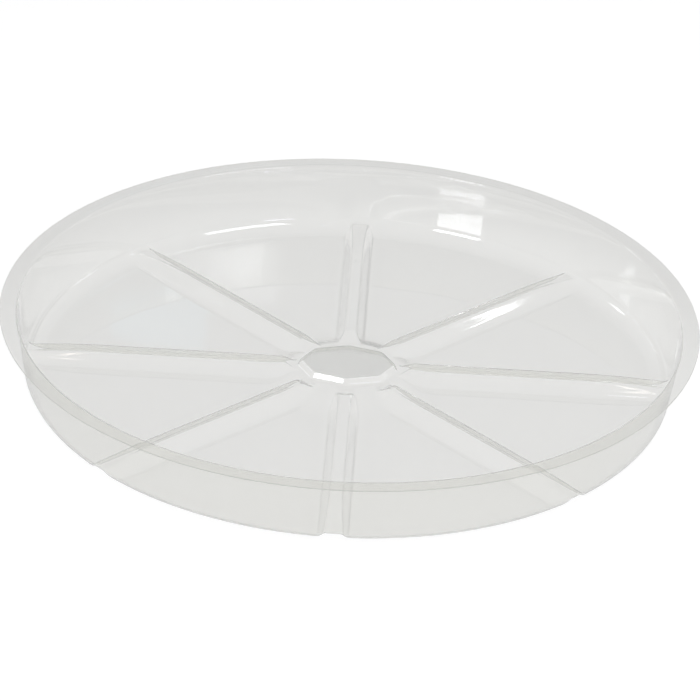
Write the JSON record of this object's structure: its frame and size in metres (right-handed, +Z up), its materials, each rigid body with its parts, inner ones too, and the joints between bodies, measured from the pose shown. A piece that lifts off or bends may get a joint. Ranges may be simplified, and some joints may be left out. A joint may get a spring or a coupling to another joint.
{
  "type": "plant saucer",
  "caption": "Round clear saucer for a flower pot, with a flat rim, a leaning wall and raised ribs that meet at a plate in the middle of the floor.",
  "frame": {"origin": "on the ground under the centre of the round floor", "axes": "+Z up, out of the open side of the saucer; +X along a rib and along the long way of the middle plate; +Y away from the camera of the picture"},
  "size_m": [0.406, 0.406, 0.043],
  "materials": {
    "clear_sheet": "clear gloss sheet, vacuum formed"
  },
  "bodies": {
    "root": {"saucer_shell": "clear_sheet"}
  },
  "joints": []
}
